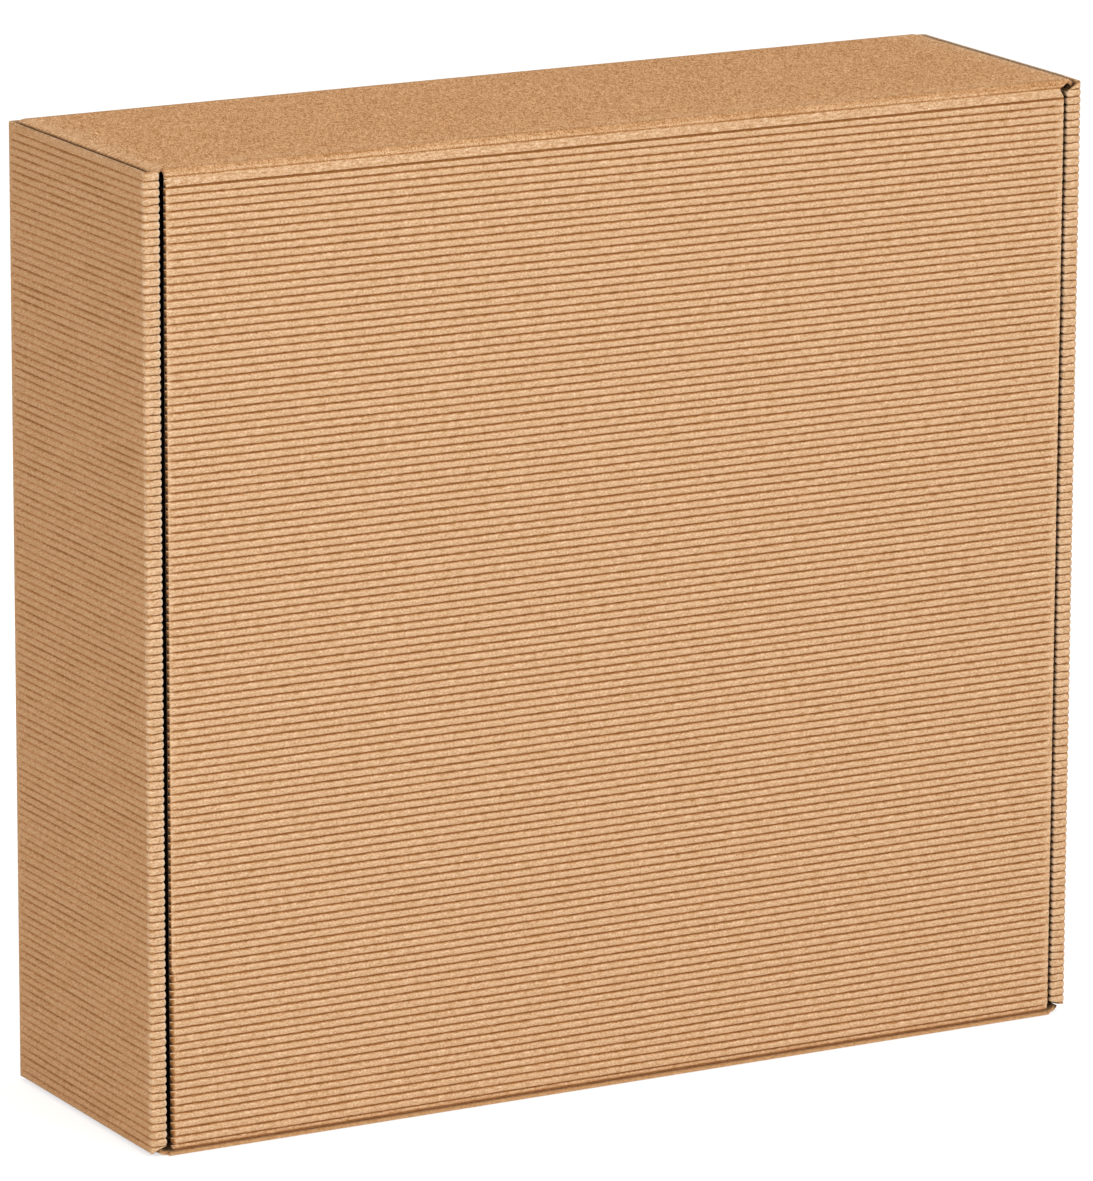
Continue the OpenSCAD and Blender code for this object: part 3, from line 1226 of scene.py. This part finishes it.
@dataclass
class CornerFlaps:
    """The four flaps of the front and rear walls, between the layers of the side walls."""

    box: Box
    bend_r: float = 4.4 * MM
    length: float = 60 * MM
    row: Row = Row(first=-42.5 * MM, count=35, low=-42.5 * MM, high=45 * MM)
    front_lip: Row = Row(first=-45 * MM, count=1, low=-46.9 * MM, high=-42.5 * MM)
    back_lip: Row = Row(first=45 * MM, count=0, low=45 * MM, high=47 * MM)
    lip_turn: float = 62.0
    squareness: float = 2.35  # power of the bend's curve, 2 for a round one
    gap_x: float = 164.2 * MM  # where the painted shade of the gap to the side wall's outer layer starts
    gap_tooth: float = 0.5 * MM  # how much nearer it starts at a valley
    gap_fade: float = 0.45 * MM

    def _flap(self, side: Side, height: float, out: int) -> bpy.types.Object:
        """Draw one flap, with the lips that its root leaves at the two corners.

        Args:
            side: The end of the box.
            height: Z of its wall's liner.
            out: 1 at the rear wall, -1 at the front wall.

        Returns:
            The flap.
        """
        board = self.box.board
        start, *ways = (side.value * self.box.wall_half, 0, height), (0, 1, 0), (0, 0, out), (side.value, 0, 0)
        radius = self.bend_r - board.thick
        flap = Sheet("flap", board).fluted(self.row).bend(radius, 90, 8).run(self.length - self.bend_r, 4)
        front = Sheet("front_lip", board).fluted(self.front_lip).bend(radius, self.lip_turn, 6)
        low, high = self.back_lip.low, self.back_lip.high
        back = Sheet("back_lip", board).plain(high - low, 3).bend(radius, self.lip_turn, 6)
        parts = [flap.set_down(start, *ways), front.set_down(start, *ways),
                 back.set_down((start[0], (high + low) / 2, height), *ways)]
        piece = join("corner_flap", parts)
        put(piece, self._square(places(piece), height - out * radius, out))
        WALL_UNREST.spread(piece)
        self._paint_gap_shade(piece)
        return piece

    def _paint_gap_shade(self, piece: bpy.types.Object) -> None:
        """Paint shade into the gap between the flap's bend and the side wall, down to near black.

        Args:
            piece: The flap, in its place.
        """
        crest = value_of(piece, "crest")
        start = self.gap_x - self.gap_tooth * (1 - crest)
        deep = unit((abs(places(piece)[:, 0]) - start) / self.gap_fade)
        paint(piece, "crest", (0.25 + 0.75 * crest) * (1 - 0.6 * deep))
        paint(piece, "rub_and_sheen", 0.6 * (1 - deep))
        paint(piece, "deep", 0.92 * deep)

    def _square(self, at: np.ndarray, centre_z: float, out: int) -> np.ndarray:
        """Make the round bend squarer, as board that is pushed into its corner.

        Args:
            at: Places of the vertices.
            centre_z: Z of the bend's centre.
            out: 1 where the flutes point up, -1 where they point down.

        Returns:
            The new places.
        """
        dx = abs(at[:, 0]) - self.box.wall_half
        dz = (at[:, 2] - centre_z) * out
        radius = np.maximum(np.hypot(dx, dz), TINY)
        power = self.squareness
        grow = (unit(dx / radius) ** power + unit(dz / radius) ** power) ** (-1 / power)
        grow = np.where((dx > 0) & (dz > 0), grow, 1)
        at[:, 0] = np.sign(at[:, 0]) * (self.box.wall_half + dx * grow)
        at[:, 2] = centre_z + out * dz * grow
        return at

    def build(self) -> bpy.types.Object:
        """Build the flaps.

        Returns:
            The four flaps as one object.
        """
        thick = self.box.board.thick
        ends = ((thick, -1), (self.box.height - thick, 1))
        flaps = [self._flap(side, height, out) for side in Side for height, out in ends]
        return join("corner_flaps", flaps)


@dataclass
class LidSheet:
    """The lid: its fluted sheet, its liner, the tuck fold and the tuck flap."""

    box: Box
    row: Row = Row(first=3.5 * MM, count=121, low=2.9 * MM, high=308.85 * MM)
    fold_y: float = -46.8 * MM
    fold_z: float = 2.9 * MM
    last_line: float = 2.1 * MM  # Z of the painted shade line above the tuck fold, like a flute's valley
    line_width: float = 0.25 * MM
    crease_width: float = 0.33 * MM  # half the width of the crease under the hinge fold, painted in the valley colour as shade
    corner_r: float = 2.4 * MM
    columns: int = 34
    end_parts: tuple[float, ...] = (0.35 * MM, 0.35 * MM, 0.9 * MM, 1.6 * MM)
    liner_parts: tuple[float, ...] = (0.5 * MM,)
    pinch_level: float = 1.0 * MM
    pinch_reach: float = 2.2 * MM
    pinch_amount: float = 0.6
    tip: float = 0.7 * MM  # length of the slope at the left cut end
    tip_level: float = 0.62 * MM  # height of its foot
    lean: float = 4.0  # of the tuck flap, in degrees
    tuck_half: float = 157.3 * MM
    tuck_depth: float = 36.3 * MM
    tuck_r: float = 8 * MM
    tuck_row: Row = Row(first=1.9 * MM, count=13, low=0.0, high=36.3 * MM)

    def _round(self, at: np.ndarray) -> np.ndarray:
        """Round the lid's two lower corners, and slant its sides where they meet the crease.

        Args:
            at: Places of the vertices.

        Returns:
            The new places.
        """
        low = self.fold_z - self.box.board.fold - self.box.board.crushed
        drop = np.clip(low + self.corner_r - at[:, 2], 0, self.corner_r)
        half = self.box.lid_half - self.corner_r + np.sqrt(self.corner_r**2 - drop**2)
        return fit_ends(at, self.box, np.minimum(half, outline(at, self.box)))

    def _slope(self, fluted: bpy.types.Object) -> None:
        """Slope the flutes down at the left cut end, and paint it brown with near-black painted shadow in the
        openings.

        Args:
            fluted: The fluted sheet, in its place.
        """
        board = self.box.board
        at = places(fluted)
        tip = unit(1 - (at[:, 0] + self.box.lid_half) / self.tip)
        inner = value_of(fluted, "side") > 0.5
        face = self.box.front + board.thick
        height = face - at[:, 1]
        loose = ~inner | (height > board.skin)
        at[:, 1] = face - height - np.where(loose, (self.tip_level - height - board.medium * inner) * tip, 0)
        put(fluted, at)
        phase = np.rint((at[:, 2] - self.row.first) / board.pitch * board.steps) % board.steps / board.steps
        opening_shadow = unit((0.5 * tip + 0.1 - phase) / 0.15) * (tip > 0)
        lip = phase > 0.8
        # painted shade: brown end and dark openings, with pale cut lips of liner and medium
        crest = np.where(tip > 0, np.where(lip, 0.8, 0.08), value_of(fluted, "crest"))
        paint(fluted, "crest", crest)
        paint(fluted, "deep", np.maximum(opening_shadow, np.where(lip, 0.05, 0.5) * unit(1.3 * tip)))

    def _panel(self) -> list[bpy.types.Object]:
        """Draw the panel's fluted sheet and its liner.

        Returns:
            The two sheets.
        """
        box, board, row = self.box, self.box.board, self.row
        half, face = box.lid_half, box.front + board.thick
        ways = ((0, 0, 1), (0, -1, 0), (1, 0, 0))
        flutes = Sheet("flutes", board).fluted(row, open_flutes=True)
        flutes.run(2 * half, self.columns, self.end_parts)
        flutes.pinch(2 * half, self.pinch_level, self.pinch_reach, self.pinch_amount)
        liner = Sheet("liner", board).plain(row.high - row.low, 6, 0, board.liner)
        liner.run(2 * half, self.columns, self.liner_parts)
        fluted = flutes.set_down((-half, face, 0), *ways)
        # painted shade: the crease is a dark line in the valley colour
        crease = abs(places(fluted)[:, 2] - (row.first + row.count * board.pitch)) < self.crease_width
        paint(fluted, "crest", np.where(crease, 0.0, value_of(fluted, "crest")))
        self._slope(fluted)
        LID_UNREST.spread(fluted)
        backing = liner.set_down((-half, face, (row.high + row.low) / 2), *ways)
        # painted shade on the liner's left cut end, in the slot beside the rim
        paint(backing, "deep", 0.85 * (places(backing)[:, 0] < -half + FOOT))
        return [fluted, backing]

    def _tuck(self) -> list[bpy.types.Object]:
        """Draw the fold and the tuck flap.

        Returns:
            The fold, and the flap's fluted sheet and liner.
        """
        box, board = self.box, self.box.board
        fold = Sheet("fold", board).plain(2 * box.lid_half, self.columns).bend(board.fold, 90 + self.lean, 7)
        lean = math.radians(self.lean)
        inward, out = (0, math.cos(lean), math.sin(lean)), (0, math.sin(lean), -math.cos(lean))
        origin = (-self.tuck_half, self.fold_y + board.fold * out[1], self.fold_z + board.fold * out[2])
        flutes = Sheet("tuck", board).fluted(self.tuck_row, open_flutes=True)
        flutes.run(2 * self.tuck_half, self.columns)
        liner = Sheet("tuck_liner", board).plain(self.tuck_depth, 4, 0, board.liner)
        liner.run(2 * self.tuck_half, self.columns)
        middle = tuple(Vector(origin) + Vector(inward) * self.tuck_depth / 2)
        parts = [flutes.set_down(origin, inward, out, (1, 0, 0)),
                 liner.set_down(middle, inward, out, (1, 0, 0))]
        for part in parts:
            put(part, self._round_tuck(places(part)))
        bent = fold.set_down((0, box.front + board.thick, self.fold_z), (1, 0, 0), (0, -1, 0), (0, 0, -1))
        # painted shade line across the fold, like a flute's valley
        paint(bent, "crest", 0.8 - 0.8 * bell(places(bent)[:, 2] - self.last_line, self.line_width))
        paint(bent, "rub_and_sheen", 0.6)
        return [bent, *parts]

    def _round_tuck(self, at: np.ndarray) -> np.ndarray:
        """Round the tuck flap's two free corners.

        Args:
            at: Places of the vertices.

        Returns:
            The new places.
        """
        deep = (at[:, 1] - self.fold_y) / math.cos(math.radians(self.lean))
        over = np.clip(deep - (self.tuck_depth - self.tuck_r), 0, self.tuck_r)
        half = self.tuck_half - self.tuck_r + np.sqrt(self.tuck_r**2 - over**2)
        at[:, 0] = np.clip(at[:, 0], -half, half)
        return at

    def build(self) -> list[bpy.types.Object]:
        """Build the lid.

        Returns:
            The panel and the tuck flap.
        """
        pieces = [join("lid_panel", self._panel()), join("tuck_flap", self._tuck())]
        for piece in pieces:
            put(piece, self._round(places(piece)))
        return pieces


def outline(at: np.ndarray, box: Box) -> np.ndarray:
    """Give how far the lid and its crease reach to either side, which narrows at the crease's two ends.

    Args:
        at: Places of vertices.
        box: The box.

    Returns:
        The largest distance from the middle at each place.
    """
    right = at[:, 0] > 0
    over = at[:, 2] - box.notch_z
    depth = np.where(right, box.notch_right, box.notch_left) * unit(1 - abs(over) / box.notch_reach)
    return box.lid_half + np.where(right & (over > 0), box.flare * over - box.notch_right, -depth)


def fit_ends(at: np.ndarray, box: Box, half: np.ndarray) -> np.ndarray:
    """Draw the two ends of a sheet as wide as the lid in or out to an outline.

    Args:
        at: Places of the vertices.
        box: The box.
        half: The outline's distance from the middle at each place.

    Returns:
        The new places.
    """
    start = box.lid_half - box.end_room
    over = np.clip(abs(at[:, 0]) - start, 0, None)
    at[:, 0] = np.where(over > 0, np.sign(at[:, 0]) * (start + over * (half - start) / box.end_room), at[:, 0])
    return at


@dataclass
class HingeCrease:
    """The creased board between the rear wall and the lid, which bends as the lid opens."""

    box: Box
    start_y: float = -46.2 * MM
    inner_r: float = 0.9 * MM
    end_z: float = 308.85 * MM
    columns: int = 110
    line_z: float = 309.4 * MM  # Z of the painted shade line at the crease edge across the front of the fold
    line_width: float = 0.24 * MM
    pale_rise: float = 0.7 * MM  # from the dark line up to the pale one
    pale_width: float = 0.35 * MM
    streak_waves: Place = (25, 800, 800)
    swell: float = 0.1 * MM  # unevenness of the front
    swell_waves: Place = (140, 0, 500)
    wrinkle: float = 0.11 * MM  # unevenness of the top
    wrinkle_waves: Place = (60, 900, 900)

    def build(self) -> bpy.types.Object:
        """Build the crease.

        Returns:
            The crease.
        """
        box, board = self.box, self.box.board
        liner_z, liner_y = box.height - board.thick, box.front + board.thick
        sheet = Sheet("hinge_crease", board).plain(2 * box.lid_half, self.columns)
        sheet.run(self.start_y - liner_y - self.inner_r, 3).bend(self.inner_r, 90, 12)
        sheet.run(liner_z - self.inner_r - self.end_z, 6)
        obj = sheet.set_down((0, self.start_y, liner_z), (1, 0, 0), (0, 0, 1), (0, -1, 0))
        put(obj, self._press(places(obj)))
        self._paint_wear_and_shade(obj)
        return obj

    def _press(self, at: np.ndarray) -> np.ndarray:
        """Wrinkle the bend and narrow its ends.

        Args:
            at: Places of the vertices.

        Returns:
            The new places.
        """
        box = self.box
        outer = at[:, 1] < box.front + 0.6 * MM
        above = 1 - unit(1 - (at[:, 2] - self.end_z) / (0.5 * MM))
        at[:, 1] += np.where(outer, self.swell * waves(at, self.swell_waves, 3.0) * above, 0)
        wrinkles = waves(at, self.wrinkle_waves, 5.0)
        top = (at[:, 2] > box.height - 1.2 * MM) & (at[:, 1] > box.front + 0.1 * MM)
        at[:, 2] += np.where(top, self.wrinkle * wrinkles, 0)
        return fit_ends(at, box, outline(at, box))

    def _paint_wear_and_shade(self, obj: bpy.types.Object) -> None:
        """Paint a shade line and a pale line across the front, the front paler than the top, and streaks on
        the top.

        Args:
            obj: The crease, in its place.
        """
        at = places(obj)
        front = at[:, 1] < self.box.front + 1.2 * MM
        over = at[:, 2] - self.line_z
        ahead = np.where(front, unit(-over / (0.3 * MM)), 0)
        line = np.where(front, bell(over, self.line_width), 0)
        pale = np.where(front, bell(over - self.pale_rise, self.pale_width), 0)
        streaks = waves(at, self.streak_waves, 9.0) * (1 - ahead)
        # painted shade line at the crease edge; paler front from rubbed paper and a painted sheen
        paint(obj, "rub_and_sheen", 0.25 + 0.7 * ahead + 0.6 * pale)
        paint(obj, "crest", unit(0.72 + 0.06 * ahead + 0.35 * streaks + 0.1 * pale - 0.56 * line))


@dataclass
class Lamp:
    """A soft square lamp that points at the middle of the box."""

    name: str
    place: Place
    size: float
    power: float
    target: Place = (0, 0, 0.15)

    def build(self) -> None:
        """Add the lamp."""
        data = bpy.data.lights.new(self.name, "AREA")
        data.shape = "SQUARE"
        data.size = self.size
        data.energy = self.power
        lamp = bpy.data.objects.new(self.name, data)
        lamp.location = self.place
        aim = Vector(self.target) - Vector(self.place)
        lamp.rotation_euler = aim.to_track_quat("-Z", "Y").to_euler()
        bpy.context.scene.collection.objects.link(lamp)


@dataclass
class Studio:
    """Camera, floor, world and lamps."""

    focal_px: float = 8367.4
    frame_px: int = 1181
    sensor: float = 36.0
    yaw: float = 28.973
    pitch: float = 13.800
    roll: float = 0.194
    camera_place: Place = (-1.2617, -2.2762, 0.7911)
    clip_start: float = 0.05
    floor_size: float = 30.0
    floor_drop: float = 0.1 * MM
    floor_grey: float = 0.8
    floor_glow: float = 0.62  # lifts the floor to white in the camera's view alone
    ambient: float = 0.45
    lamps: tuple[Lamp, ...] = (
        Lamp("key", (0.9, -2.6, 1.7), 1.6, 33.6),
        Lamp("top", (0.1, 0.2, 2.6), 1.8, 6),
        Lamp("fill", (-2.2, -1.5, 0.9), 1.2, 21.5),
    )

    def _camera(self) -> None:
        """Add the camera at the photograph's viewing angle."""
        yaw, pitch, roll = (math.radians(a) for a in (self.yaw, self.pitch, self.roll))
        ahead = Vector((math.sin(yaw) * math.cos(pitch), math.cos(yaw) * math.cos(pitch), -math.sin(pitch)))
        level = Vector((math.cos(yaw), -math.sin(yaw), 0))
        upright = level.cross(ahead)
        right = level * math.cos(roll) + upright * math.sin(roll)
        above = upright * math.cos(roll) - level * math.sin(roll)
        data = bpy.data.cameras.new("camera")
        data.sensor_width = self.sensor
        data.lens = self.focal_px * self.sensor / self.frame_px
        data.clip_start = self.clip_start
        camera = bpy.data.objects.new("camera", data)
        turn = Matrix((right, above, -ahead)).transposed().to_4x4()
        camera.matrix_world = Matrix.Translation(self.camera_place) @ turn
        bpy.context.scene.collection.objects.link(camera)
        bpy.context.scene.camera = camera

    def _floor(self) -> None:
        """Add a pale floor that looks white and keeps the object's shadow."""
        bpy.ops.object.select_all(action="DESELECT")
        bpy.ops.mesh.primitive_plane_add(size=self.floor_size, location=(0, 0, -self.floor_drop))
        floor = bpy.context.object
        floor.name = "floor"
        material = bpy.data.materials.new("floor_white")
        material.use_nodes = True
        tree = Tree(material.node_tree)
        matte = tree.add("BsdfDiffuse", {"Color": rgba((self.floor_grey,) * 3)})
        glow = tree.add("Emission", {"Color": rgba(WHITE), "Strength": self.floor_glow})
        both = tree.add("AddShader", {0: matte.outputs[0], 1: glow.outputs[0]})
        seen = tree.add("LightPath").outputs["Is Camera Ray"]
        shader = tree.add("MixShader", {0: seen, 1: matte.outputs[0], 2: both.outputs[0]})
        tree.add("OutputMaterial", {"Surface": shader.outputs[0]})
        floor.data.materials.append(material)

    def _world(self) -> None:
        """Light all round softly, with a white background."""
        world = bpy.data.worlds.new("studio")
        bpy.context.scene.world = world
        world.use_nodes = True
        tree = Tree(world.node_tree)
        seen = tree.add("LightPath").outputs
        shown = tree.maths("MAXIMUM", seen["Is Camera Ray"], seen["Is Glossy Ray"])
        soft, white = (tree.add("Background", {"Color": rgba(WHITE), "Strength": strength}).outputs[0]
                       for strength in (self.ambient, 1.0))
        shader = tree.add("MixShader", {0: shown, 1: soft, 2: white})
        tree.add("OutputWorld", {"Surface": shader.outputs[0]})

    def build(self) -> None:
        """Build the studio."""
        self._camera()
        self._floor()
        self._world()
        for lamp in self.lamps:
            lamp.build()
        bpy.context.scene.view_settings.view_transform = "Standard"


def report(piece: bpy.types.Object) -> None:
    """Report a finished piece."""
    triangles = sum(len(face.vertices) - 2 for face in piece.data.polygons)
    LOG.info("%s: %d triangles", piece.name, triangles)


def main() -> None:
    """Build the studio and dress the box."""
    logging.basicConfig(level=logging.INFO, format="%(message)s")
    Studio().build()
    finishes = Finishes()
    finishes.build()
    box = Box()
    cuts = {Side.LEFT: RimCut(311.3 * MM, 311 * MM, 1.0 * MM, 3.8 * MM),
            Side.RIGHT: RimCut(311.3 * MM, 307.8 * MM, 2.4 * MM, 4.5 * MM)}
    walls = [SideWall(box, side, cut).build() for side, cut in cuts.items()]
    tray = [Trough(box).build(), *walls, CornerFlaps(box).build()]
    lid = LidSheet(box).build()
    crease = HingeCrease(box).build()
    for pieces, body in ((tray, TRAY), (lid, LID)):
        for piece in pieces:
            finishes.dress(piece, Paper.WALL if piece.name == "trough" else Paper.FLUTES)
            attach(piece, body)
            report(piece)
        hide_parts(body)
    finishes.dress(crease, Paper.WALL)
    axis_y, axis_z, reach = -47.5 * MM, 311.0 * MM, 1.0 * MM
    behind, ahead = (0, axis_y + reach, axis_z + reach), (0, axis_y - reach, axis_z - reach)
    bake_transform(crease, TRAY, LID, start=behind, end=ahead)
    report(crease)


if __name__ == "__main__":
    main()
